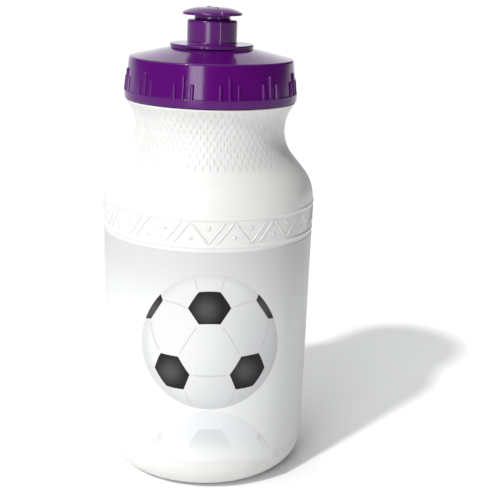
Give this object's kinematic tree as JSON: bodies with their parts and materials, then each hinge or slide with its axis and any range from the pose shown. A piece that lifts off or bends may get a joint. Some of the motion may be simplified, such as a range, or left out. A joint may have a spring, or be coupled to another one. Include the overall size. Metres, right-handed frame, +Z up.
{
  "type": "sports squeeze bottle",
  "caption": "Squeezable plastic drinking bottle with a waisted neck, printed film, screw lid and push-pull drinking valve.",
  "frame": {"origin": "centre of the foot, on the surface that the bottle stands on", "axes": "+Z up the bottle's axis to the drinking valve, -Y towards the printed front, +X to the right of someone facing it"},
  "size_m": [0.0786, 0.0786, 0.1723],
  "materials": {
    "soft_white": "satin white polyethylene",
    "printed_film": "satin printed film",
    "seal_rubber": "matte translucent white",
    "lid_purple": "glossy purple polypropylene",
    "valve_purple": "glossy purple polyethylene"
  },
  "bodies": {
    "bottle": {"bottle_body": "soft_white", "label_wrap": "printed_film"},
    "seal": {"lid_gasket": "seal_rubber"},
    "lid": {"lid": "lid_purple"},
    "valve": {"valve": "valve_purple"}
  },
  "joints": [
    {"name": "lid_lift", "type": "slide", "parent": "bottle", "child": "seal", "axis": [0, 0, 1], "range_m": [0, 0.0211]},
    {"name": "lid_turn", "type": "hinge", "parent": "seal", "child": "lid", "pos_m": [0, 0, 0.146], "axis": [0, 0, 1], "range_deg": [0, 1800]},
    {"name": "valve_slide", "type": "slide", "parent": "lid", "child": "valve", "axis": [0, 0, 1], "range_m": [0, 0.005]}
  ],
  "couplings": [
    {"joint": "lid_lift", "follows": "lid_turn", "m_per_rad": 0.00066845}
  ]
}
